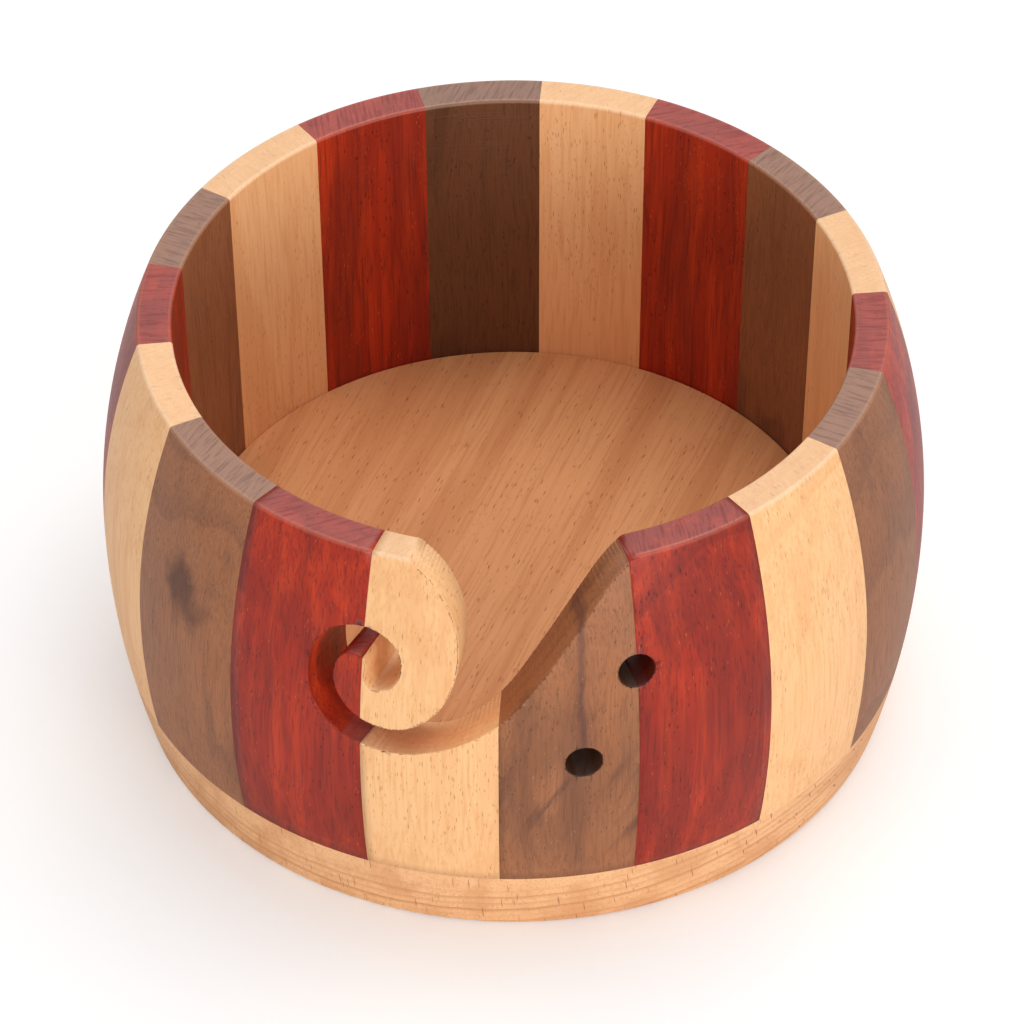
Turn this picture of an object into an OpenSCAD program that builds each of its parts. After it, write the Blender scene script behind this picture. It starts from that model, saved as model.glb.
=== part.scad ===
// Turned yarn bowl: a coopered ring of eighteen staves in three woods on an edge-glued base.
// The origin is the centre of the foot, on the surface the bowl stands on, and +Z is up.
// Azimuth is measured from +X towards +Y, and the hook faces -Y.

/* [Bowl] */
// Height from the foot to the rim
bowl_h = 90.5; // [80:0.5:100]
// Greatest diameter, at the belly
belly_d = 160; // [150:1:170]
// Height of the belly above the foot
belly_z = 45; // [40:0.5:50]
// Outer diameter at the rim
rim_d = 144; // [140:1:146]
// Diameter of the foot
foot_d = 147.4; // [140:0.2:150]

/* [Edges] */
// Radius of the eased edges of the rim
rim_ease = 0.7; // [0.3:0.1:1.2]
// Radius of the eased edge of the foot
foot_ease = 1.2; // [0.5:0.1:2]
// Width of the eased edge of the floor, against the wall
floor_ease = 0.4; // [0.2:0.1:0.8]

/* [Inside] */
// Inner diameter at the rim
mouth_d = 130.6; // [126:0.2:132]
// Inner diameter where the wall meets the floor
floor_d = 127.2; // [124:0.2:128]
// Height of the floor above the foot
floor_z = 26.8; // [24:0.2:30]

/* [Staves] */
// Azimuth that the left edge of the beech stave with the hook has in an even ring
first_joint = -113.33; // [-115:0.01:-112]
// Height of the shoulder of the base that the staves stand on
shoulder_z = 15.5; // [14:0.5:17]

/* [Base] */
// Azimuth of the grain and of the glue lines of the base boards
grain_azimuth = 69; // [60:1:80]
// Distance from the centre to the left glue line
left_seam = 12; // [8:1:16]
// Distance from the centre to the right glue line
right_seam = 63; // [60:1:66]

/* [Yarn guide] */
// Diameter of the two yarn holes
hole_d = 7; // [5:0.5:9]
// Azimuth of the upper yarn hole
upper_hole_azimuth = -73; // [-76:0.1:-70]
// Height of the upper yarn hole
upper_hole_z = 67.2; // [64:0.1:70]
// Azimuth of the lower yarn hole
lower_hole_azimuth = -80.6; // [-84:0.1:-78]
// Height of the lower yarn hole
lower_hole_z = 47.7; // [45:0.1:50]
// Steps of the slot's curve between two of its stations
slot_steps = 6; // [3:1:8]

/* [Hidden] */

// The ring is eighteen staves in turn of beech, walnut and padauk, as NODES lists them.
WOOD_COLOURS = ["burlywood", "saddlebrown", "firebrick"];
stave_count = 18;
stave_angle = 360 / stave_count;
// The staves differ a little in width. This is how many degrees past its even place each
// stave begins, in their order round the ring.
JOINT_SHIFT = [
    2.1, 1.2, 0.4, 0.7, 0.6, -0.3, -1.4, -1.0, -1.7,
    -0.3, -1.4, -1.4, -0.6, 0.9, 0.8, 0.0, -0.2, 1.2
];
front_stave = 0;
last_stave = stave_count - 1;
SLOTTED_STAVES = [front_stave, 1, 2, last_stave];
DRILLED_STAVES = [1, 2];

// Circular arcs of the outside, one from belly to rim and one from foot to belly.
$fn = 180;
upper_arc = arc_radius(bowl_h - belly_z, (belly_d - rim_d) / 2);
lower_arc = arc_radius(belly_z, (belly_d - foot_d) / 2);

// The slot is a band between two smooth curves drawn on the outside of the bowl.
// A station across the band is [hook x, hook z, wall x, wall z, dip]. The x values are
// millimetres of arc round the belly from azimuth -90, and the cut falls by dip
// millimetres for each millimetre inwards. It starts in the eye of the hook, goes round
// the tip and under the hook, and opens over the rim.
SLOT = [
    [-27.6, 62.4, -26.4, 62.2, 0.15],
    [-29.0, 64.2, -23.4, 64.0, 0.15],
    [-28.9, 66.6, -21.9, 67.8, 0.15],
    [-29.3, 68.3, -22.8, 71.8, 0.15],
    [-30.8, 69.2, -25.9, 74.5, 0.15],
    [-32.9, 69.0, -30.6, 75.4, 0.15],
    [-34.8, 67.0, -36.1, 73.4, 0.15],
    [-35.6, 63.6, -39.7, 68.9, 0.15],
    [-34.8, 60.2, -40.9, 62.6, 0.16],
    [-32.7, 57.0, -39.7, 56.2, 0.18],
    [-29.5, 54.8, -35.2, 51.0, 0.22],
    [-25.1, 53.8, -28.5, 48.5, 0.30],
    [-20.9, 54.4, -21.7, 48.3, 0.38],
    [-17.0, 56.9, -14.5, 50.4, 0.42],
    [-13.7, 60.9, -7.3, 54.3, 0.38],
    [-11.6, 66.0, -1.0, 59.7, 0.32],
    [-10.7, 71.8, 4.5, 66.8, 0.28],
    [-11.1, 77.2, 10.0, 74.3, 0.24],
    [-13.0, 82.2, 15.3, 81.1, 0.16],
    [-16.6, 86.9, 20.1, 86.7, 0.08],
    [-21.3, 90.0, 24.6, 89.9, 0.00],
    [-27.0, 92.4, 30.9, 92.0, 0.00]
];
slot_last = len(SLOT) - 1;

// How far a cutter runs past the wall on each side, and past a face it only has to open.
cut_clear = 10;
overlap = 1;
cut_inner_r = mouth_d / 2 - cut_clear;
cut_outer_r = belly_d / 2 + cut_clear;

// The hook and its tip are what stands inside the middle line of the slot. Each is picked
// out by a fan of that line round a pivot, from one station to another.
hook_pivot = [-31, 72];
hook_stations = [9, slot_last];
hook_roof = [hook_pivot[0], bowl_h + 2 * cut_clear, 0];
tip_pivot = [-28, 62];
tip_stations = [3, 12];
fan_dip = 0.15;

// Radius of the arc that gains the given depth over the given height and ends upright.
function arc_radius(height, depth) = (height * height + depth * depth) / (2 * depth);

// Azimuth at which a stave begins, counted on past the last one to close the ring.
function joint_azimuth(i) = first_joint + i * stave_angle + JOINT_SHIFT[i % stave_count];

// Outer radius of the bowl at height z.
function outer_radius(z) =
    let (r = z > belly_z ? upper_arc : lower_arc, up = z - belly_z)
    belly_d / 2 - r + sqrt(r * r - up * up);

// Inner radius of the straight, slightly drafted wall at height z.
function wall_radius(z) =
    (floor_d + (mouth_d - floor_d) * (z - floor_z) / (bowl_h - floor_z)) / 2;

// Smooth curve through four neighbouring stations, for t from 0 at b to 1 at c.
function smooth(a, b, c, d, t) =
    b + t / 2 * (c - a + t * (2 * a - 5 * b + 4 * c - d + t * (3 * b - a - 3 * c + d)));

// Point of a cut at radius r, falling inwards from its place on the outside of the bowl.
function cut_point(x, z, dip, r) =
    let (azimuth = x / (belly_d / 2) * 180 / PI - 90)
    [r * cos(azimuth), r * sin(azimuth), z - (outer_radius(min(z, bowl_h)) - r) * dip];

// Place and dip of the middle line of the slot at a station.
function slot_middle(s) = [(s[0] + s[2]) / 2, (s[1] + s[3]) / 2, s[4]];

// What easing takes from a corner of a profile: all outside a circle of radius r that
// touches the level side, above it if up is 1, and the side with the unit normal face.
module corner_waste(centre, face, up, r) {
    reach = 3 * r;
    translate(centre)
        difference() {
            polygon([
                [0, 0], [0, up * reach], [sign(face[0]) * reach, up * reach], reach * face
            ]);
            circle(r);
        }
}

// What easing takes from the end of an arc of the outside, that many millimetres from
// the belly and above it if up is 1.
module arc_end_waste(arc, height, up, r) {
    out = sqrt(pow(arc - r, 2) - pow(height - r, 2));
    corner_waste(
        [belly_d / 2 - arc + out, belly_z + up * (height - r)],
        [out, up * (height - r)] / (arc - r), up, r
    );
}

// Half of the outer profile of the bowl, from the axis, with its rim and foot eased.
module outer_profile() {
    difference() {
        intersection() {
            translate([belly_d / 2 - upper_arc, belly_z]) circle(upper_arc);
            translate([0, belly_z]) square([belly_d, bowl_h - belly_z]);
        }
        arc_end_waste(upper_arc, bowl_h - belly_z, 1, rim_ease);
    }
    difference() {
        intersection() {
            translate([belly_d / 2 - lower_arc, belly_z]) circle(lower_arc);
            square([belly_d, belly_z]);
        }
        arc_end_waste(lower_arc, belly_z, -1, foot_ease);
    }
}

// What easing takes from the inner edge of the rim.
module mouth_waste() {
    draft = atan2(mouth_d - floor_d, 2 * (bowl_h - floor_z));
    face = [-cos(draft), sin(draft)];
    corner_waste(
        [mouth_d / 2 + rim_ease * (1 - face[1]) / cos(draft), bowl_h - rim_ease],
        face, 1, rim_ease
    );
}

// Everything inside the straight wall, between two heights.
module hollow_profile(z0, z1) {
    polygon([[0, z0], [wall_radius(z0), z0], [wall_radius(z1), z1], [0, z1]]);
}

// The band of the slot, through the wall and out over the rim.
module slot_cutter() {
    stations = [
        for (i = [0 : slot_last - 1])
            for (j = [0 : slot_steps - 1])
                smooth(SLOT[max(i - 1, 0)], SLOT[i], SLOT[i + 1],
                    SLOT[min(i + 2, slot_last)], j / slot_steps),
        SLOT[slot_last],
        SLOT[slot_last] + [0, cut_clear, 0, cut_clear, 0]
    ];
    points = [
        for (s = stations) each [
            cut_point(s[0], s[1], s[4], cut_inner_r),
            cut_point(s[2], s[3], s[4], cut_inner_r),
            cut_point(s[2], s[3], s[4], cut_outer_r),
            cut_point(s[0], s[1], s[4], cut_outer_r)
        ]
    ];
    top = len(points) - 4;
    sides = [
        for (i = [0 : 4 : top - 4])
            for (k = [0 : 3])
                let (a = i + k, b = i + (k + 1) % 4)
                each [[a, b, b + 4], [a, b + 4, a + 4]]
    ];
    ends = [[0, 2, 1], [0, 3, 2], [top, top + 1, top + 2], [top, top + 2, top + 3]];
    polyhedron(points, concat(sides, ends));
}

// A wedge through the wall: a fan of triangles from a pivot to a line of [x, z, dip] places.
module fan(pivot, line) {
    places = concat([[pivot[0], pivot[1], fan_dip]], line);
    n = len(places);
    points = [
        for (r = [cut_inner_r, cut_outer_r])
            for (p = places) cut_point(p[0], p[1], p[2], r)
    ];
    caps = [
        for (i = [1 : n - 2]) each [[0, i, i + 1], [n, n + i + 1, n + i]]
    ];
    sides = [
        for (i = [0 : n - 1])
            let (j = (i + 1) % n)
            each [[i, n + i, n + j], [i, n + j, j]]
    ];
    polyhedron(points, concat(caps, sides));
}

module hook_region() {
    fan(hook_pivot, concat(
        [for (i = [hook_stations[0] : hook_stations[1]]) slot_middle(SLOT[i])],
        [slot_middle(SLOT[slot_last]) + [0, cut_clear, 0], hook_roof]
    ));
}

module tip_region() {
    fan(tip_pivot, [for (i = [tip_stations[0] : tip_stations[1]]) slot_middle(SLOT[i])]);
}

// A round hole along the radius, through the wall.
module yarn_hole(azimuth, z) {
    rotate([0, 0, azimuth])
        translate([wall_radius(z) - cut_clear, 0, z])
            rotate([0, 90, 0])
                cylinder(d = hole_d, h = belly_d / 2 - wall_radius(z) + 2 * cut_clear);
}

// One stave with its share of the slot and the holes, counted anticlockwise from the front.
module cut_stave(i) {
    difference() {
        rotate([0, 0, joint_azimuth(i)])
            rotate_extrude(angle = joint_azimuth(i + 1) - joint_azimuth(i))
                difference() {
                    outer_profile();
                    hollow_profile(shoulder_z - overlap, bowl_h + overlap);
                    mouth_waste();
                    square([belly_d, shoulder_z]);
                }
        if (len(search(i, SLOTTED_STAVES)) > 0) slot_cutter();
        if (len(search(i, DRILLED_STAVES)) > 0) {
            yarn_hole(upper_hole_azimuth, upper_hole_z);
            yarn_hole(lower_hole_azimuth, lower_hole_z);
        }
    }
}

// A stave of the ring, without the piece of hook that the slot frees from it.
module stave(i) {
    color(WOOD_COLOURS[i % 3])
        difference() {
            cut_stave(i);
            if (i == front_stave) hook_region();
            if (i == last_stave) tip_region();
        }
}

module hook_beech() {
    color(WOOD_COLOURS[front_stave % 3])
        intersection() {
            cut_stave(front_stave);
            hook_region();
        }
}

module hook_tip_padauk() {
    color(WOOD_COLOURS[last_stave % 3])
        intersection() {
            cut_stave(last_stave);
            tip_region();
        }
}

// Profile of the plug that fills the foot of the stave ring, with the floor's edge eased.
module plug_profile() {
    eased_z = floor_z - floor_ease;
    polygon([
        [0, shoulder_z], [wall_radius(shoulder_z), shoulder_z], [wall_radius(eased_z), eased_z],
        [wall_radius(floor_z) - floor_ease, floor_z], [0, floor_z]
    ]);
}

// The whole base: a turned disc with its plug.
module base_blank() {
    rotate_extrude() {
        intersection() {
            outer_profile();
            square([belly_d, shoulder_z]);
        }
        plug_profile();
    }
}

// Slab of the base between two distances left of the centre, along the grain.
module grain_slab(near, far) {
    rotate([0, 0, grain_azimuth])
        translate([-belly_d, near, -overlap])
            cube([2 * belly_d, far - near, bowl_h]);
}

module base_board_left() {
    color("wheat")
        intersection() {
            base_blank();
            grain_slab(left_seam, belly_d);
        }
}

module base_board_middle() {
    color("burlywood")
        intersection() {
            base_blank();
            grain_slab(-right_seam, left_seam);
        }
}

module base_board_right() {
    color("wheat")
        intersection() {
            base_blank();
            grain_slab(-belly_d, -right_seam);
        }
}

for (i = [0 : last_stave])
    stave(i);
hook_beech();
hook_tip_padauk();
base_board_left();
base_board_middle();
base_board_right();
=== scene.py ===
"""A turned yarn bowl of beech, walnut and padauk staves, dressed and lit.

The frame holds every stave, the hook and the boards of the base. This file gives them their
woods, eases the sawn edges of the slot and the drilled edges of the yarn holes, and sets the
stage round them. Lengths are in metres and angles in radians, as Blender keeps them, but the
patterns of the woods count in millimetres.
"""

import math

import bmesh
import bpy
import numpy as np
from mathutils import Matrix, Vector


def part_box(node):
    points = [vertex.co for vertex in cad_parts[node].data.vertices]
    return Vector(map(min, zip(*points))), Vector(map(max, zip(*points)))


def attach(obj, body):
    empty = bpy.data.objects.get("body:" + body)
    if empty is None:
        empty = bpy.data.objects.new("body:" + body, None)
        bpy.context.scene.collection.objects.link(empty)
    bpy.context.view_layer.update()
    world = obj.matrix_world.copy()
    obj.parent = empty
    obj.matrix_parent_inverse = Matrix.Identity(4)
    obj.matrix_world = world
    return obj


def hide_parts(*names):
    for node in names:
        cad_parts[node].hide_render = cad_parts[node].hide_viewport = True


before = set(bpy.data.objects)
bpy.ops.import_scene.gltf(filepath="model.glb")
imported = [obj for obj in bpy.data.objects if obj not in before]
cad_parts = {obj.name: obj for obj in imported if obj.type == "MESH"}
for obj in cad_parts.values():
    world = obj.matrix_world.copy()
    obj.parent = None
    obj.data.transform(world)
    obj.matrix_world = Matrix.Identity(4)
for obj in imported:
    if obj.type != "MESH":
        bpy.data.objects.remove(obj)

bl_info = {
    "name": "Yarn bowl",
    "version": (1, 0, 0),
    "blender": (4, 5, 0),
    "location": "3D View > Sidebar > Yarn bowl",
    "description": "Gives a staved yarn bowl its woods, its eased edges and its stage",
    "category": "Object",
}

MM = 0.001

# The bowl as the frame has it. These lengths and heights are in millimetres.
STAVES = 18
TURN = 360 / STAVES
FIRST_MIDDLE = -103.33  # azimuth that the middle of stave 1 has in an even ring, in degrees
WOODS = ("beech", "walnut", "padauk")  # of the staves, in turn
RIM_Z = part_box("stave_04_beech")[1].z / MM
FLOOR_Z = 26.8  # height of the floor above the foot
RIM_OUT, RIM_IN = 72.0, 65.3  # radii of the rim's two edges
RIM_EASE = 0.7  # radius of the rim's eased edges
BELLY_R, BELLY_Z = 80.0, 45.0  # greatest radius and its height
UPPER_ARC, LOWER_ARC = 133.39, 163.86  # radii of the outside's two arcs
FLOOR_R = 63.6  # radius of the inner wall at the floor
WALL_DRAFT = 1.7 / 63.7  # what the inner wall's radius gains with each millimetre of height
GRAIN_AZIMUTH = 69  # azimuth of the fibres of the base, in degrees
HOLES = ((-73.0, 67.2), (-80.6, 47.7))  # azimuth and height of the two yarn holes
HOLE_R = 3.5  # their radius
# The nodes that the slot or a hole cuts, with the number of the stave they belong to.
CUT_NODES = {
    "stave_01_beech": 1,
    "stave_02_walnut": 2,
    "stave_03_padauk": 3,
    "stave_18_padauk": 18,
    "hook_beech": 1,
    "hook_tip_padauk": 18,
}

# How the cut nodes are merged, shaded and eased.
MERGE = 0.001  # millimetres between two corners that are one
ON_SKIN = 0.1  # how far from the turned skin a face's middle may be, in millimetres
FACING = 0.9  # how nearly a face of the skin points outwards or inwards, as a cosine
IN_JOINT = 0.02  # degrees, millimetres or cosine by which a glue face may miss its plane
SMOOTH_BELOW = 45  # degrees between two faces that are shaded as one surface
EASED_FROM = 25  # degrees between two faces from which the edge between them is eased
EASED_BELOW = RIM_Z - RIM_EASE - 0.5  # height at which the easing ends, clear of the rim's own

# How the woods of single staves differ from their like.
WALNUT_TONES = {2: 0.95, 5: 0.82, 8: 0.72, 11: 0.4, 14: 0.85, 17: 0.95}
SLASHED_STAVE = 2
CLOUDED_STAVE = 17
CLOUD_PLACE = (1.0, 63.0)  # of that stave's smoky patch, round and up, in millimetres
CLOUD_HALF = (9.0, 10.0)  # its half width and half height

# How the surface of all the woods is.
RIM_HIGHLIGHT_WIDTH = 0.9  # width of the paler strip painted along the rim's edges as a highlight, in millimetres
SPECULAR = 0.32  # strength of the lacquer's mirror reflection

# Where the lights and the camera stand, in metres and degrees.
TOP_LIGHT = ((0.3, 0.35, 1.7), 1.2, 1.2)  # place, width and height
LOW_LIGHT = ((0.45, -1.62, 0.28), 1.5, 0.45)
LIGHTS_AIM = (0, 0, 0.05)
FLOOR_HALF = 6.0  # half the floor's width
CAMERA_PLACE = (0, -1.07067, 1.0028)
CAMERA_YAW, CAMERA_DOWN, CAMERA_ROLL = -0.017, 41.968, -0.181
SENSOR = 36  # width of the camera's sensor, in millimetres


def linear(red, green, blue):
    """Colour as Blender keeps it, from the eight-bit values that a screen shows."""
    shown = np.array([red, green, blue]) / 255
    kept = np.where(shown <= 0.04045, shown / 12.92, ((shown + 0.055) / 1.055) ** 2.4)
    return tuple(float(k) for k in kept)


def colour_property(name, description, shown):
    """A colour that a user can change, given as a screen shows it."""
    return bpy.props.FloatVectorProperty(
        name=name,
        description=description,
        default=linear(*shown),
        subtype="COLOR",
        size=3,
        min=0,
        max=1,
    )


class YarnBowlWoods(bpy.types.PropertyGroup):
    """Colours of the three woods of the staves and of the beech of the base."""

    beech: colour_property("Beech", "Sapwood of the pale staves", (254, 199, 143))
    beech_late: colour_property("Beech bands", "Late wood of the pale staves", (238, 172, 112))
    beech_fleck: colour_property("Beech flecks", "Rays of the beech", (176, 104, 54))
    walnut: colour_property("Walnut", "Ground of the brown staves", (172, 108, 68))
    walnut_late: colour_property("Walnut streaks", "Dark streaks of the walnut", (92, 56, 42))
    walnut_grey: colour_property("Walnut grey", "Cool patches of the walnut", (156, 116, 92))
    padauk: colour_property("Padauk", "Ground of the red staves", (172, 44, 21))
    padauk_late: colour_property("Padauk streaks", "Purple streaks of the padauk", (104, 28, 24))
    padauk_bright: colour_property("Padauk ribbons", "Orange ribbons of the padauk", (196, 58, 24))
    board: colour_property("Base", "Ground of the base boards", (248, 192, 140))
    board_late: colour_property("Base bands", "Late wood of the base boards", (214, 146, 94))


class YarnBowlFinish(bpy.types.PropertyGroup):
    """Sheen of the lacquer and depth of what shows through it."""

    roughness: bpy.props.FloatProperty(
        name="Roughness",
        description="Roughness of the satin lacquer",
        default=0.42,
        min=0.05,
        max=1,
    )
    pore_depth: bpy.props.FloatProperty(
        name="Pore depth",
        description="How deep the pores dent the lacquer",
        default=0.09 * MM,
        min=0,
        max=0.5 * MM,
        unit="LENGTH",
        subtype="DISTANCE",
        precision=5,
    )
    eased: bpy.props.FloatProperty(
        name="Eased edges",
        description="Width of the eased edges of the slot and of the yarn holes",
        default=0.22 * MM,
        min=0.05 * MM,
        max=1 * MM,
        unit="LENGTH",
        subtype="DISTANCE",
        precision=5,
    )


class YarnBowlStage(bpy.types.PropertyGroup):
    """Light, floor and camera."""

    sky: bpy.props.FloatProperty(
        name="Sky", description="Strength of the even light all round", default=0.56, min=0, max=2
    )
    top_power: bpy.props.FloatProperty(
        name="Top light",
        description="Power of the soft light overhead",
        default=13,
        min=0,
        max=100,
        unit="POWER",
    )
    front_power: bpy.props.FloatProperty(
        name="Front light",
        description="Power of the low soft light in front",
        default=14,
        min=0,
        max=100,
        unit="POWER",
    )
    floor: colour_property("Floor", "Colour of the floor", (232, 232, 232))
    glow: bpy.props.FloatProperty(
        name="Floor whiteness",
        description="White that the camera alone sees added to the floor",
        default=0.3,
        min=0,
        max=1,
    )
    lens: bpy.props.FloatProperty(
        name="Lens",
        description="Focal length of the camera, in millimetres",
        default=258.66,
        min=50,
        max=400,
    )


class Shade:
    """The shader nodes of one wood, added and joined one at a time."""

    def __init__(self, name):
        self.material = bpy.data.materials.new(name)
        self.material.use_nodes = True
        self.tree = self.material.node_tree
        self.tree.nodes.clear()
        self.column = 0

    def add(self, kind, **settings):
        """A new node, with its settings."""
        node = self.tree.nodes.new(kind)
        node.location = (180 * (self.column % 12), -260 * (self.column // 12))
        self.column += 1
        for setting, value in settings.items():
            setattr(node, setting, value)
        return node

    def put(self, value, socket):
        """Joins a socket to another, or sets a plain value on it."""
        if isinstance(value, bpy.types.NodeSocket):
            self.tree.links.new(value, socket)
        else:
            socket.default_value = value

    def maths(self, operation, a, b=0.0, c=0.0):
        """One sum on numbers."""
        node = self.add("ShaderNodeMath", operation=operation)
        for value, socket in zip((a, b, c), node.inputs):
            self.put(value, socket)
        return node.outputs[0]

    def vector(self, operation, a, b=(0, 0, 0)):
        """One sum on vectors."""
        node = self.add("ShaderNodeVectorMath", operation=operation)
        self.put(a, node.inputs[0])
        self.put(b, node.inputs[1])
        return node.outputs["Value" if operation == "LENGTH" else "Vector"]

    def split(self, vector):
        """The three numbers of a vector."""
        node = self.add("ShaderNodeSeparateXYZ")
        self.put(vector, node.inputs[0])
        return node.outputs[0], node.outputs[1], node.outputs[2]

    def join(self, x, y, z):
        """A vector of three numbers."""
        node = self.add("ShaderNodeCombineXYZ")
        for value, socket in zip((x, y, z), node.inputs):
            self.put(value, socket)
        return node.outputs[0]

    def mapped(self, vector, shift=(0, 0, 0), turn=(0, 0, 0), scale=(1, 1, 1)):
        """A vector scaled, then turned, then shifted."""
        node = self.add("ShaderNodeMapping")
        self.put(vector, node.inputs["Vector"])
        node.inputs["Location"].default_value = shift
        node.inputs["Rotation"].default_value = turn
        node.inputs["Scale"].default_value = scale
        return node.outputs[0]

    def noise(self, vector, detail, roughness=0.55, colour=False):
        """Soft noise, one lump to a unit of the vector."""
        node = self.add("ShaderNodeTexNoise")
        self.put(vector, node.inputs["Vector"])
        node.inputs["Scale"].default_value = 1
        node.inputs["Detail"].default_value = detail
        node.inputs["Roughness"].default_value = roughness
        return node.outputs["Color" if colour else "Fac"]

    def bands(self, along):
        """Soft bands along one number."""
        node = self.add("ShaderNodeTexNoise", noise_dimensions="1D")
        self.put(along, node.inputs["W"])
        node.inputs["Scale"].default_value = 1
        node.inputs["Detail"].default_value = 0
        return node.outputs["Fac"]

    def rise(self, value, low, high):
        """0 below low, 1 above high and a smooth rise between, or a fall if low is above high."""
        node = self.add("ShaderNodeMapRange", interpolation_type="SMOOTHSTEP")
        self.put(value, node.inputs["Value"])
        turned = low > high
        node.inputs["From Min"].default_value = high if turned else low
        node.inputs["From Max"].default_value = low if turned else high
        node.inputs["To Min"].default_value = 1 if turned else 0
        node.inputs["To Max"].default_value = 0 if turned else 1
        return node.outputs["Result"]

    def blend(self, factor, a, b, mode="MIX"):
        """Two colours mixed."""
        node = self.add("ShaderNodeMix", data_type="RGBA", blend_type=mode)
        self.put(factor, node.inputs[0])
        for value, socket in ((a, node.inputs[6]), (b, node.inputs[7])):
            self.put(value if isinstance(value, bpy.types.NodeSocket) else (*value, 1), socket)
        return node.outputs[2]

    def lay(self, colour, over, mask, share):
        """A colour laid over another where a mask is, up to a share."""
        return self.blend(self.maths("MULTIPLY", mask, share), colour, over)

    def weighed(self, *terms):
        """The sum of values, each given with its weight."""
        value, weight = terms[0]
        total = self.maths("MULTIPLY", value, weight)
        for value, weight in terms[1:]:
            total = self.maths("MULTIPLY_ADD", value, weight, total)
        return total

    def dashes(self, vector, cell, radius, share):
        """Short dashes: one ellipsoid to a cell of the given size, in a share of the cells.

        The vector is divided by the cell's size, so the distance to the nearest cell's point
        draws an ellipsoid of radius times that size. Each cell's own random number leaves some
        out and makes the others longer or shorter."""
        node = self.add("ShaderNodeTexVoronoi")
        self.put(self.mapped(vector, scale=tuple(1 / c for c in cell)), node.inputs["Vector"])
        node.inputs["Scale"].default_value = 1
        luck, size, _ = self.split(node.outputs["Color"])
        reach = self.maths("MULTIPLY_ADD", size, radius * 0.7, radius * 0.45)
        near = self.maths("SUBTRACT", reach, node.outputs["Distance"])
        inside = self.rise(near, 0.0, radius * 0.55)
        return self.maths("MULTIPLY", inside, self.rise(luck, share + 0.02, share - 0.02))

    def finish(self, colour, roughness, height, depth):
        """Lacquered wood from its colour, its roughness and its height as a share of a depth."""
        bump = self.add("ShaderNodeBump")
        bump.inputs["Strength"].default_value = 1
        bump.inputs["Distance"].default_value = depth
        self.put(height, bump.inputs["Height"])
        wood = self.add("ShaderNodeBsdfPrincipled")
        self.put(colour, wood.inputs["Base Color"])
        self.put(roughness, wood.inputs["Roughness"])
        wood.inputs["Specular IOR Level"].default_value = SPECULAR
        self.put(bump.outputs["Normal"], wood.inputs["Normal"])
        out = self.add("ShaderNodeOutputMaterial")
        self.put(wood.outputs["BSDF"], out.inputs["Surface"])
        return self.material


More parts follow.
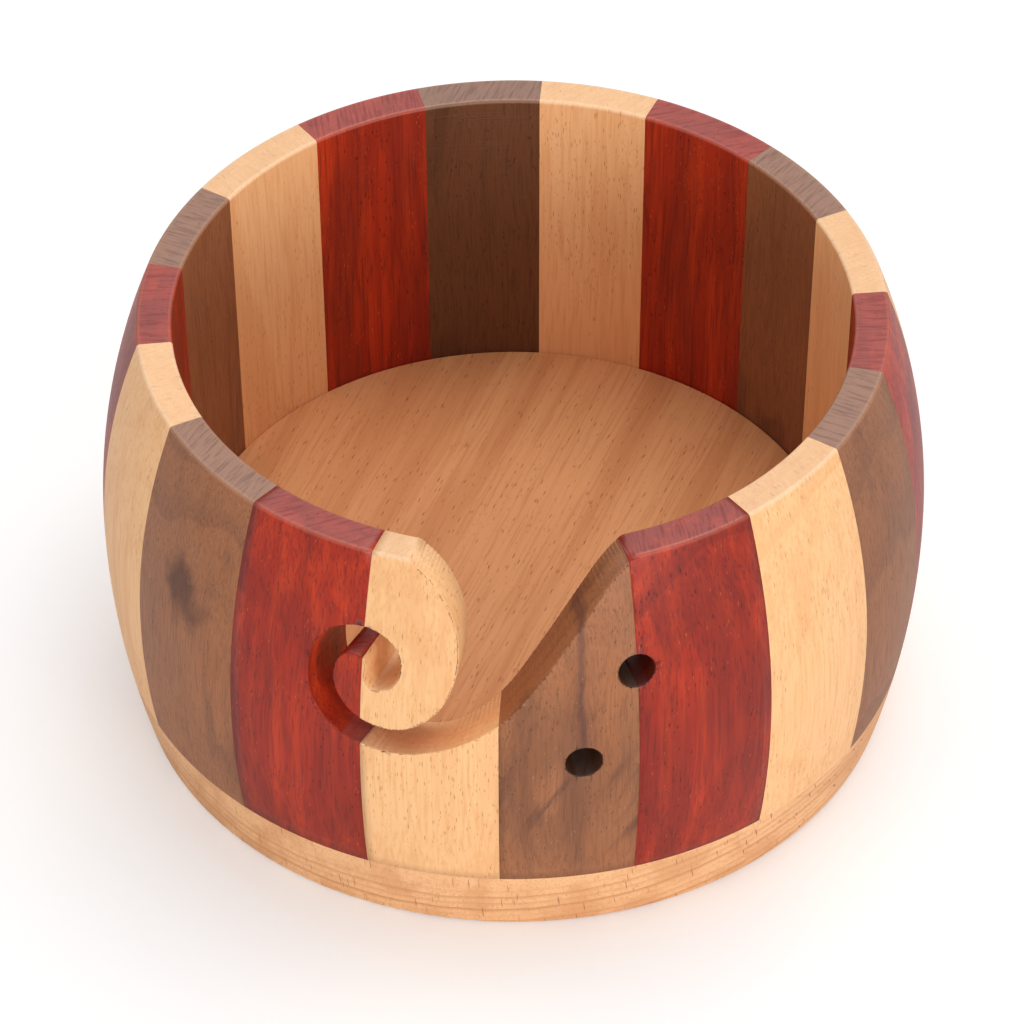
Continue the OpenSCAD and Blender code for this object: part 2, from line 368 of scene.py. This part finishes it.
class Grain(Shade):
    """A board's own directions and the features that all the woods share.

    x runs out of the bowl, y round it and z up, in millimetres, before wander bends them."""

    def __init__(self, name, azimuth, seed, wander):
        super().__init__(name)
        place = self.add("ShaderNodeTexCoord").outputs["Object"]
        self.place = self.mapped(place, scale=(1 / MM,) * 3)
        self.local = self.mapped(
            place, scale=(1 / MM,) * 3, turn=(0, 0, math.radians(-azimuth))
        )
        self.seed = seed
        shifted = self.mapped(self.local, shift=(17.3 * seed, 5.9 * seed, 41.7 * seed))
        slow = self.noise(self.mapped(shifted, scale=(0.03, 0.03, 0.014)), 2, colour=True)
        even = self.vector("SUBTRACT", slow, (0.5, 0.5, 0.5))
        push = self.vector("MULTIPLY", even, (2 * wander, 2 * wander, wander))
        self.fibre = self.vector("ADD", shifted, push)
        self.bent = self.vector("ADD", self.local, push)

    def rings(self, pith, spacing):
        """Number of growth rings from the pith, which stands at x and y of the board."""
        x, y, _ = self.split(self.bent)
        out, aside = self.maths("SUBTRACT", x, pith[0]), self.maths("SUBTRACT", y, pith[1])
        from_pith = self.vector("LENGTH", self.join(out, aside, 0.0))
        return self.maths("DIVIDE", from_pith, spacing)

    def late_wood(self, rings):
        """The dark end of each ring, which builds up slowly and stops at once.

        It is stronger in some rings than in others."""
        part = self.maths("FRACT", rings)
        year = self.maths("FLOOR", rings)
        strength = self.bands(self.maths("MULTIPLY", year, 3.77))
        line = self.maths("MULTIPLY", self.rise(part, 0.35, 0.93), self.rise(part, 1.0, 0.95))
        return self.maths("MULTIPLY", line, self.rise(strength, 0.25, 0.75))

    def streaks(self, across, along, detail):
        """Noise drawn out along the fibres."""
        return self.noise(self.mapped(self.fibre, scale=(across, across, along)), detail)

    def rim_edge_highlight(self):
        """How close a point is to one of the rim's two turned edges, where a paler strip is
        painted as a highlight.
        """
        x, y, z = self.split(self.place)
        radius = self.vector("LENGTH", self.join(x, y, 0.0))
        drop = self.maths("SUBTRACT", z, RIM_Z)
        marks = []
        for edge in (RIM_OUT, RIM_IN):
            aside = self.maths("SUBTRACT", radius, edge)
            away = self.vector("LENGTH", self.join(aside, drop, 0.0))
            marks.append(self.rise(away, RIM_HIGHLIGHT_WIDTH, 0.2))
        return self.maths("ADD", *marks)

    def level_face(self):
        """1 on the rim, where the fibres end, and 0 on the upright faces.

        It marks the end grain and where a paler painted sheen is laid.
        """
        _, _, up = self.split(self.add("ShaderNodeNewGeometry").outputs["Normal"])
        return self.rise(self.maths("ABSOLUTE", up), 0.75, 0.97)

    def end_lines(self):
        """Slanting growth lines where the rim cuts across the fibres, up to a share of 0.5."""
        slanted = self.mapped(self.local, turn=(0, 0, 0.7 - 0.13 * (self.seed % 9)))
        drawn = self.mapped(slanted, shift=(7.7 * self.seed, 0, 0), scale=(0.16, 1.5, 0.2))
        lines = self.noise(drawn, 3)
        return self.maths("MULTIPLY", self.rise(lines, 0.45, 0.68), 0.5)

    def painted_hole_shade(self):
        """How far a point is inside one of the yarn holes, whose walls are painted dark as shade.
        """
        marks = []
        for azimuth, up in HOLES:
            along, off, z = self.split(
                self.mapped(self.place, turn=(0, 0, math.radians(-azimuth)), shift=(0, 0, -up))
            )
            away = self.vector("LENGTH", self.join(off, z, 0.0))
            inside = self.rise(away, HOLE_R + 0.25, HOLE_R + 0.05)
            marks.append(self.maths("MULTIPLY", inside, self.rise(along, 40, 50)))
        return self.maths("MULTIPLY", self.maths("ADD", *marks), 0.8)

    def turning_marks(self):
        """Fine lines round the inside of the bowl, left by the turner's scraper below the rim."""
        x, y, z = self.split(self.place)
        radius = self.vector("LENGTH", self.join(x, y, 0.0))
        flat = self.mapped(self.place, scale=(0.05, 0.05, 1.6))
        round_it = self.noise(flat, 2, 0.7)
        inside = self.rise(radius, RIM_IN + 0.6, RIM_IN + 0.2)
        there = self.maths("MULTIPLY", inside, self.rise(z, 55, 84))
        return self.maths("MULTIPLY", there, self.rise(round_it, 0.56, 0.7))


def beech(name, azimuth, seed, woods, finish, pith, tone):
    """Pale beech: faint rings, silky streaks and short thin rays."""
    s = Grain(name, azimuth, seed, wander=1.2)
    rings = s.late_wood(s.rings(pith, 2.6))
    silk = s.streaks(1.8, 0.06, 5)
    broad = s.streaks(0.2, 0.012, 2)
    flecks = s.dashes(s.fibre, (3.0, 0.34, 2.9), 0.27, 0.5)
    small = s.dashes(s.mapped(s.fibre, shift=(3, 7, 5)), (2.4, 0.3, 1.7), 0.26, 0.45)
    end_grain_and_sheen = s.level_face()
    pale, late, ray = tuple(woods.beech), tuple(woods.beech_late), tuple(woods.beech_fleck)
    colour = s.lay(pale, late, rings, 0.35)
    colour = s.lay(colour, late, s.rise(silk, 0.42, 0.72), 0.7)
    colour = s.lay(colour, late, s.rise(broad, 0.45, 0.7), 0.4)
    colour = s.lay(colour, ray, flecks, 0.62)
    colour = s.lay(colour, ray, small, 0.4)
    colour = s.lay(colour, late, end_grain_and_sheen, s.end_lines())
    # painted sheen: the level rim is painted paler, standing in for the lacquer's reflection
    colour = s.lay(colour, (1.0, 0.72, 0.5), end_grain_and_sheen, 0.3)
    # painted highlight: a paler strip along the rim's edges
    colour = s.lay(colour, (1.0, 0.82, 0.62), s.rim_edge_highlight(), 0.25)
    colour = s.blend(1.0, colour, (tone,) * 3, "MULTIPLY")
    height = s.weighed((flecks, -0.5), (silk, 0.16), (s.turning_marks(), 0.15))
    rough = s.maths("MULTIPLY_ADD", silk, 0.12, finish.roughness - 0.04)
    return s.finish(colour, rough, height, finish.pore_depth)


def walnut(name, azimuth, seed, woods, finish, pith, tone):
    """Brown walnut: dark curved streaks, cool patches and fine open pores.

    One stave has leaning dark streaks and a dark vein, and another a smoky patch."""
    s = Grain(name, azimuth, seed, wander=5.0)
    rings = s.late_wood(s.rings(pith, 4.2))
    fine = s.streaks(2.6, 0.1, 5)
    broad = s.streaks(0.16, 0.012, 3)
    patch = s.noise(s.mapped(s.fibre, scale=(0.06, 0.06, 0.03)), 3)
    pores = s.dashes(s.fibre, (0.6, 0.34, 2.0), 0.26, 0.45)
    specks = s.dashes(
        s.mapped(s.fibre, shift=(11, 3, 8), turn=(0.25, 0, 0)), (0.7, 0.4, 1.9), 0.24, 0.3
    )
    end_grain_and_sheen = s.level_face()
    dark = tuple(woods.walnut_late)
    colour = s.lay(tuple(woods.walnut), tuple(woods.walnut_grey), s.rise(patch, 0.35, 0.7), 0.2)
    colour = s.lay(colour, dark, s.rise(broad, 0.5, 0.78), 0.45)
    colour = s.lay(colour, dark, rings, 0.35)
    colour = s.lay(colour, dark, s.rise(fine, 0.42, 0.72), 0.4)
    if seed == SLASHED_STAVE:
        colour = slashes(s, colour)
    if seed == CLOUDED_STAVE:
        colour = cloud(s, colour)
    colour = s.lay(colour, linear(70, 42, 28), pores, 0.55)
    colour = s.lay(colour, linear(206, 150, 108), specks, 0.55)
    colour = s.blend(1.0, colour, (tone,) * 3, "MULTIPLY")
    # painted sheen: the level rim is painted paler and greyer, standing in for the lacquer's
    # reflection
    colour = s.lay(colour, linear(178, 142, 126), end_grain_and_sheen, 0.7)
    colour = s.lay(colour, linear(112, 80, 70), end_grain_and_sheen, s.end_lines())
    # painted highlight: a paler strip along the rim's edges
    colour = s.lay(colour, linear(206, 160, 130), s.rim_edge_highlight(), 0.3)
    # painted shade: the walls inside the yarn holes are painted dark
    colour = s.blend(s.painted_hole_shade(), colour, linear(38, 22, 15))
    height = s.weighed((pores, -1.0), (specks, 0.5), (fine, 0.3), (s.turning_marks(), 0.3))
    rough = s.maths("MULTIPLY_ADD", fine, 0.16, finish.roughness - 0.06)
    return s.finish(colour, rough, height, finish.pore_depth)


def wander_pair(s):
    """Two slow noises that bend the marks of single walnut staves."""
    warp = s.noise(s.mapped(s.local, scale=(0.12, 0.12, 0.09)), 3, colour=True)
    return s.split(warp)[:2]


def slashes(s, colour):
    """Dark streaks that lean low on a stave, and a dark vein above them."""
    _, y, z = s.split(s.local)
    aside, _ = wander_pair(s)
    turned = s.mapped(s.local, turn=(0.5, 0, 0))
    leaning = s.noise(s.mapped(turned, shift=(0, 3, 0), scale=(0.05, 0.2, 0.025)), 4)
    low = s.maths("MULTIPLY", s.rise(leaning, 0.5, 0.66), s.rise(z, 54, 38))
    colour = s.lay(colour, linear(74, 46, 42), low, 0.6)
    off = s.maths("ABSOLUTE", s.maths("SUBTRACT", s.maths("MULTIPLY_ADD", aside, 4.0, y), 4.6))
    vein = s.maths("MULTIPLY", s.rise(off, 1.3, 0.1), s.rise(z, 44, 52))
    return s.lay(colour, linear(78, 50, 48), vein, 0.55)


def cloud(s, colour):
    """A smoky patch with an uneven edge."""
    _, y, z = s.split(s.local)
    aside, aloft = wander_pair(s)

    def off_middle(at, bend, reach, way):
        """Bent distance from the patch's middle, as a share of its half size."""
        straight = s.maths("SUBTRACT", at, CLOUD_PLACE[way])
        bent = s.maths("ADD", straight, s.maths("MULTIPLY_ADD", bend, reach, -reach / 2))
        return s.maths("DIVIDE", bent, CLOUD_HALF[way])

    across, up = off_middle(y, aside, 14.0, 0), off_middle(z, aloft, 16.0, 1)
    away = s.vector("LENGTH", s.join(across, up, 0.0))
    return s.lay(colour, linear(80, 46, 36), s.rise(away, 1.0, 0.25), 0.75)


def padauk(name, azimuth, seed, woods, finish, pith, tone):
    """Red padauk: orange ribbons, purple streaks and long open pores."""
    s = Grain(name, azimuth, seed, wander=3.0)
    rings = s.late_wood(s.rings(pith, 3.4))
    fine = s.streaks(2.2, 0.06, 5)
    ribbon = s.streaks(0.34, 0.012, 2)
    broad = s.noise(s.mapped(s.fibre, shift=(9, 2, 4), scale=(0.12, 0.12, 0.022)), 3)
    pores = s.dashes(s.fibre, (1.6, 0.5, 2.6), 0.25, 0.42)
    specks = s.dashes(
        s.mapped(s.fibre, shift=(6, 13, 2), turn=(0.12, 0, 0)), (1.4, 0.42, 2.4), 0.23, 0.3
    )
    end_grain_and_sheen = s.level_face()
    dark = tuple(woods.padauk_late)
    colour = s.blend(s.rise(ribbon, 0.4, 0.68), tuple(woods.padauk), tuple(woods.padauk_bright))
    colour = s.lay(colour, dark, s.rise(broad, 0.42, 0.62), 0.45)
    colour = s.lay(colour, dark, rings, 0.35)
    colour = s.lay(colour, dark, s.rise(fine, 0.45, 0.7), 0.6)
    colour = s.lay(colour, linear(80, 14, 10), pores, 0.7)
    # painted highlight: the pale orange specks stand in for glints of the lacquer on the pore
    # dents
    colour = s.lay(colour, linear(226, 104, 62), specks, 0.6)
    # painted sheen: the level rim is painted paler and pinker, standing in for the lacquer's
    # reflection
    colour = s.lay(colour, linear(188, 116, 110), end_grain_and_sheen, 0.5)
    colour = s.lay(colour, linear(122, 50, 54), end_grain_and_sheen, s.end_lines())
    # painted highlight: a paler strip along the rim's edges
    colour = s.lay(colour, linear(226, 140, 118), s.rim_edge_highlight(), 0.25)
    # painted shade: the walls inside the yarn holes are painted dark
    colour = s.blend(s.painted_hole_shade(), colour, linear(52, 14, 9))
    colour = s.blend(1.0, colour, (tone,) * 3, "MULTIPLY")
    height = s.weighed((pores, -1.0), (fine, 0.2), (specks, 0.3), (s.turning_marks(), 0.3))
    rough = s.maths("MULTIPLY_ADD", fine, 0.14, finish.roughness - 0.1)
    return s.finish(colour, rough, height, finish.pore_depth)


def board(name, seed, woods, finish):
    """Beech of the base: flat-sawn, with level growth layers.

    The board's x runs along the fibres, y across them and z up through the growth layers,
    which sag to both sides of its middle. The floor inside the bowl is painted darker than the
    band round the foot, as painted shade."""
    s = Grain(name, GRAIN_AZIMUTH, seed, wander=1.0)
    _, y, z = s.split(s.bent)
    sag = s.maths("MULTIPLY", s.maths("POWER", s.maths("ADD", y, 14.0 * (seed - 2)), 2.0), 0.0013)
    layers = s.maths("DIVIDE", s.maths("SUBTRACT", z, sag), 2.1)
    swell = s.noise(s.mapped(s.fibre, scale=(0.012, 0.04, 0.04)), 2)
    rings = s.late_wood(s.maths("MULTIPLY_ADD", swell, 1.6, layers))
    silk = s.noise(s.mapped(s.fibre, scale=(0.06, 1.8, 1.8)), 5)
    broad = s.noise(s.mapped(s.fibre, scale=(0.008, 0.14, 0.1)), 3)
    flecks = s.dashes(s.fibre, (3.4, 0.38, 9), 0.27, 0.55)
    small = s.dashes(s.mapped(s.fibre, shift=(3, 7, 5)), (2.0, 0.32, 5), 0.25, 0.45)
    _, _, level = s.split(s.place)
    floor = s.rise(level, FLOOR_Z - 4, FLOOR_Z - 1)
    late = tuple(woods.board_late)
    crisp = s.maths("MULTIPLY_ADD", floor, -0.5, 0.85)
    colour = s.lay(tuple(woods.board), late, rings, crisp)
    colour = s.lay(colour, late, s.rise(broad, 0.42, 0.66), 0.5)
    colour = s.lay(colour, late, s.rise(silk, 0.45, 0.72), 0.5)
    colour = s.lay(colour, linear(152, 88, 46), flecks, 0.7)
    colour = s.lay(colour, linear(160, 96, 52), small, 0.45)
    # painted shade: the floor inside the bowl is darkened against the band round the foot
    colour = s.blend(floor, colour, (0.86, 0.72, 0.62), "MULTIPLY")
    height = s.weighed((flecks, -0.5), (silk, 0.16), (rings, -0.3))
    rough = s.maths("MULTIPLY_ADD", silk, 0.12, finish.roughness)
    return s.finish(colour, rough, height, finish.pore_depth)


def stave_name(number):
    """Node of a stave, counted anticlockwise from the one that carries the hook."""
    return f"stave_{number:02d}_{WOODS[(number - 1) % 3]}"


def places_of(mesh):
    """Corners of a mesh in millimetres, a row to each."""
    places = np.empty(3 * len(mesh.vertices))
    mesh.vertices.foreach_get("co", places)
    return places.reshape(-1, 3) / MM


def stave_edges(number):
    """Azimuths, in degrees, of the two glue lines of a stave, from its own mesh."""
    x, y, _ = places_of(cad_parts[stave_name(number)].data).T
    even = math.radians(FIRST_MIDDLE + TURN * (number - 1))
    turn = np.arctan2(
        y * math.cos(even) - x * math.sin(even), x * math.cos(even) + y * math.sin(even)
    )
    return tuple(math.degrees(even + t) for t in (turn.min(), turn.max()))


def stave_wood(number, woods, finish):
    """The wood of a stave, made once for the stave and what the slot frees from it."""
    kind = WOODS[(number - 1) % 3]
    name = f"{kind}_{number:02d}"
    if name in bpy.data.materials:
        return bpy.data.materials[name]
    azimuth = sum(stave_edges(number)) / 2
    luck = np.random.default_rng(40 + number)
    pith = (-34 - 30 * luck.random(), 40 * (luck.random() - 0.5))
    tone = (0.96 + 0.08 * luck.random()) * WALNUT_TONES.get(number, 1.0)
    make = {"beech": beech, "walnut": walnut, "padauk": padauk}[kind]
    return make(name, azimuth, number, woods, finish, pith, tone)


def dress(piece, material):
    """Gives a piece one material."""
    slots = piece.material_slots
    if not slots:
        piece.data.materials.append(material)
    for slot in slots:
        slot.material = material


class YARNBOWL_OT_staves(bpy.types.Operator):
    """Gives the eighteen staves their woods"""

    bl_idname = "yarn_bowl.staves"
    bl_label = "Finish the staves"

    def execute(self, context):
        woods, finish = context.scene.yarn_bowl_woods, context.scene.yarn_bowl_finish
        for number in range(1, STAVES + 1):
            dress(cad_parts[stave_name(number)], stave_wood(number, woods, finish))
        return {"FINISHED"}


def outer_radius(z):
    """Radius of the outside at a height: a circular arc above the belly and one below it."""
    arc = np.where(z > BELLY_Z, UPPER_ARC, LOWER_ARC)
    return BELLY_R - arc + np.sqrt(np.maximum(arc**2 - (z - BELLY_Z) ** 2, 0))


def sawn_edges(mesh):
    """1 for each edge between a sawn or drilled face and the turned skin, and 0 for the others.

    A face is skin where its middle lies on the outside or the inner wall and it faces the way
    that surface does. It is a glue face where it stands in a glue line's upright plane or lies
    level at the shoulder. Everything else is sawn or drilled, up to where the rim's own eased
    edge begins."""
    count, total = len(mesh.polygons), len(mesh.edges)
    middles, normals = np.empty(3 * count), np.empty(3 * count)
    mesh.polygons.foreach_get("center", middles)
    mesh.polygons.foreach_get("normal", normals)
    x, y, z = middles.reshape(-1, 3).T / MM
    nx, ny, nz = normals.reshape(-1, 3).T
    radius = np.hypot(x, y)
    outward = (nx * x + ny * y) / radius
    wall = FLOOR_R + WALL_DRAFT * (z - FLOOR_Z)
    skin = (np.abs(radius - outer_radius(z)) < ON_SKIN) & (outward > FACING)
    skin |= (np.abs(radius - wall) < ON_SKIN) & (outward < -FACING)
    azimuth = np.degrees(np.arctan2(y, x))
    lines = np.array([stave_edges(number)[0] for number in range(1, STAVES + 1)])
    off = np.abs((azimuth[:, None] - lines + 180) % 360 - 180).min(axis=1)
    glue = (off < IN_JOINT) & (np.abs(outward) < IN_JOINT) & (np.abs(nz) < IN_JOINT)
    glue |= (nz < -0.99) & (z < z.min() + IN_JOINT)
    edges = np.empty(3 * count, dtype=np.int32)
    mesh.loops.foreach_get("edge_index", edges)

    def over_edges(values):
        """Sum of a value of the two faces of each edge."""
        return np.bincount(edges, np.repeat(values, 3), total)

    meet = (over_edges(skin) > 0) & (over_edges(~(skin | glue)) > 0)
    both = np.sum(np.square([over_edges(n) for n in (nx, ny, nz)]), axis=0)
    sharp = both < 2 + 2 * math.cos(math.radians(EASED_FROM))
    return (meet & sharp & (over_edges(z > EASED_BELOW) == 0)).astype(np.float32)


def eased_copy(node, width):
    """A merged, smooth copy of a cut node with its sawn and drilled edges rounded."""
    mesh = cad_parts[node].data.copy()
    mesh.name = f"{node}_eased"
    knit = bmesh.new()
    knit.from_mesh(mesh)
    bmesh.ops.remove_doubles(knit, verts=knit.verts, dist=MERGE * MM)
    knit.to_mesh(mesh)
    knit.free()
    mesh.polygons.foreach_set("use_smooth", np.ones(len(mesh.polygons), dtype=bool))
    mesh.set_sharp_from_angle(angle=math.radians(SMOOTH_BELOW))
    weights = mesh.attributes.new("bevel_weight_edge", "FLOAT", "EDGE")
    weights.data.foreach_set("value", sawn_edges(mesh))
    piece = bpy.data.objects.new(f"{node}_eased", mesh)
    bpy.context.scene.collection.objects.link(piece)
    ease = piece.modifiers.new("ease", "BEVEL")
    ease.limit_method = "WEIGHT"
    ease.width, ease.segments = width, 2
    ease.use_clamp_overlap, ease.loop_slide = False, False
    ease.harden_normals = True
    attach(piece, "root")
    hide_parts(node)
    return piece


class YARNBOWL_OT_hook(bpy.types.Operator):
    """Eases the cut staves, the hook and its tip, and gives them their woods"""

    bl_idname = "yarn_bowl.hook"
    bl_label = "Finish the hook and the cut staves"

    def execute(self, context):
        woods, finish = context.scene.yarn_bowl_woods, context.scene.yarn_bowl_finish
        for node, number in CUT_NODES.items():
            piece = eased_copy(node, finish.eased)
            dress(piece, stave_wood(number, woods, finish))
        return {"FINISHED"}


class YARNBOWL_OT_base(bpy.types.Operator):
    """Gives the three boards of the base their beech"""

    bl_idname = "yarn_bowl.base"
    bl_label = "Finish the base"

    def execute(self, context):
        woods, finish = context.scene.yarn_bowl_woods, context.scene.yarn_bowl_finish
        for seed, side in enumerate(("left", "middle", "right"), 1):
            material = board(f"base_{side}", seed, woods, finish)
            dress(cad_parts[f"base_board_{side}"], material)
        return {"FINISHED"}


def softbox(name, power, place, width, height):
    """A rectangular soft light that faces the middle of the bowl."""
    lamp = bpy.data.lights.new(name, "AREA")
    lamp.shape = "RECTANGLE"
    lamp.size, lamp.size_y = width, height
    lamp.energy = power
    item = bpy.data.objects.new(name, lamp)
    item.location = place
    aim = Vector(LIGHTS_AIM) - Vector(place)
    item.rotation_euler = aim.to_track_quat("-Z", "Y").to_euler()
    bpy.context.scene.collection.objects.link(item)


def sky(strength):
    """An even pale light all round, white where the camera itself looks."""
    world = bpy.data.worlds.new("studio")
    world.use_nodes = True
    nodes, links = world.node_tree.nodes, world.node_tree.links
    nodes.clear()
    even = nodes.new("ShaderNodeBackground")
    white = nodes.new("ShaderNodeBackground")
    for light, power in ((even, strength), (white, 1)):
        light.inputs["Color"].default_value = (1, 1, 1, 1)
        light.inputs["Strength"].default_value = power
    seen = nodes.new("ShaderNodeLightPath")
    choose = nodes.new("ShaderNodeMixShader")
    out = nodes.new("ShaderNodeOutputWorld")
    links.new(seen.outputs["Is Camera Ray"], choose.inputs[0])
    links.new(even.outputs[0], choose.inputs[1])
    links.new(white.outputs[0], choose.inputs[2])
    links.new(choose.outputs[0], out.inputs["Surface"])
    bpy.context.scene.world = world


def floor_piece(colour, glow):
    """A wide level floor, whose white the camera alone sees lifted."""
    mesh = bpy.data.meshes.new("floor")
    ways = ((-1, -1), (1, -1), (1, 1), (-1, 1))
    mesh.from_pydata([(FLOOR_HALF * x, FLOOR_HALF * y, 0) for x, y in ways], [], [(0, 1, 2, 3)])
    piece = bpy.data.objects.new("floor", mesh)
    bpy.context.scene.collection.objects.link(piece)
    paint = bpy.data.materials.new("floor_paint")
    paint.use_nodes = True
    nodes, links = paint.node_tree.nodes, paint.node_tree.links
    nodes.clear()
    matt = nodes.new("ShaderNodeBsdfDiffuse")
    matt.inputs["Color"].default_value = (*colour, 1)
    lift = nodes.new("ShaderNodeEmission")
    seen = nodes.new("ShaderNodeLightPath")
    much = nodes.new("ShaderNodeMath")
    much.operation = "MULTIPLY"
    much.inputs[1].default_value = glow
    both = nodes.new("ShaderNodeAddShader")
    out = nodes.new("ShaderNodeOutputMaterial")
    links.new(seen.outputs["Is Camera Ray"], much.inputs[0])
    links.new(much.outputs[0], lift.inputs["Strength"])
    links.new(matt.outputs[0], both.inputs[0])
    links.new(lift.outputs[0], both.inputs[1])
    links.new(both.outputs[0], out.inputs["Surface"])
    mesh.materials.append(paint)


def camera(lens):
    """A long lens that looks down on the bowl by 42 degrees."""
    data = bpy.data.cameras.new("camera")
    data.lens, data.sensor_width = lens, SENSOR
    data.clip_start, data.clip_end = 0.05, 50
    item = bpy.data.objects.new("camera", data)
    bpy.context.scene.collection.objects.link(item)
    yaw, down, roll = (math.radians(a) for a in (CAMERA_YAW, CAMERA_DOWN, CAMERA_ROLL))
    ahead = Vector((
        math.sin(yaw) * math.cos(down), math.cos(yaw) * math.cos(down), -math.sin(down)
    ))
    right = Vector((math.cos(yaw), -math.sin(yaw), 0))
    up = right.cross(ahead)
    across = math.cos(roll) * right + math.sin(roll) * up
    over = -math.sin(roll) * right + math.cos(roll) * up
    turned = Matrix((across, over, -ahead)).transposed().to_4x4()
    item.matrix_world = Matrix.Translation(CAMERA_PLACE) @ turned
    bpy.context.scene.camera = item


class YARNBOWL_OT_stage(bpy.types.Operator):
    """Sets the floor, the soft lights and the camera"""

    bl_idname = "yarn_bowl.stage"
    bl_label = "Set the stage"

    def execute(self, context):
        stage = context.scene.yarn_bowl_stage
        floor_piece(tuple(stage.floor), stage.glow)
        sky(stage.sky)
        softbox("top_light", stage.top_power, *TOP_LIGHT)
        softbox("low_light", stage.front_power, *LOW_LIGHT)
        camera(stage.lens)
        context.scene.view_settings.view_transform = "Standard"
        return {"FINISHED"}


class YARNBOWL_PT_panel(bpy.types.Panel):
    """Lists the woods, the finish, the stage and the steps that make the bowl"""

    bl_idname = "YARNBOWL_PT_panel"
    bl_label = "Yarn bowl"
    bl_space_type = "VIEW_3D"
    bl_region_type = "UI"
    bl_category = "Yarn bowl"

    def draw(self, context):
        column = self.layout.column()
        for group in GROUPS:
            owner = getattr(context.scene, group)
            for name in owner.bl_rna.properties.keys():
                if name not in ("rna_type", "name"):
                    column.prop(owner, name)
        for operator in STEPS:
            column.operator(operator)


GROUPS = {
    "yarn_bowl_woods": YarnBowlWoods,
    "yarn_bowl_finish": YarnBowlFinish,
    "yarn_bowl_stage": YarnBowlStage,
}
OPERATORS = (YARNBOWL_OT_staves, YARNBOWL_OT_hook, YARNBOWL_OT_base, YARNBOWL_OT_stage)
STEPS = tuple(operator.bl_idname for operator in OPERATORS)
CLASSES = (*GROUPS.values(), *OPERATORS, YARNBOWL_PT_panel)


def register():
    """Makes the bowl's settings, steps and panel known to Blender."""
    for kind in CLASSES:
        bpy.utils.register_class(kind)
    for name, kind in GROUPS.items():
        setattr(bpy.types.Scene, name, bpy.props.PointerProperty(type=kind))


def unregister():
    """Takes them away again."""
    for name in GROUPS:
        delattr(bpy.types.Scene, name)
    for kind in reversed(CLASSES):
        bpy.utils.unregister_class(kind)


def main():
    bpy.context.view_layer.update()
    register()
    for step in STEPS:
        group, name = step.split(".")
        getattr(getattr(bpy.ops, group), name)()


if __name__ == "__main__":
    main()
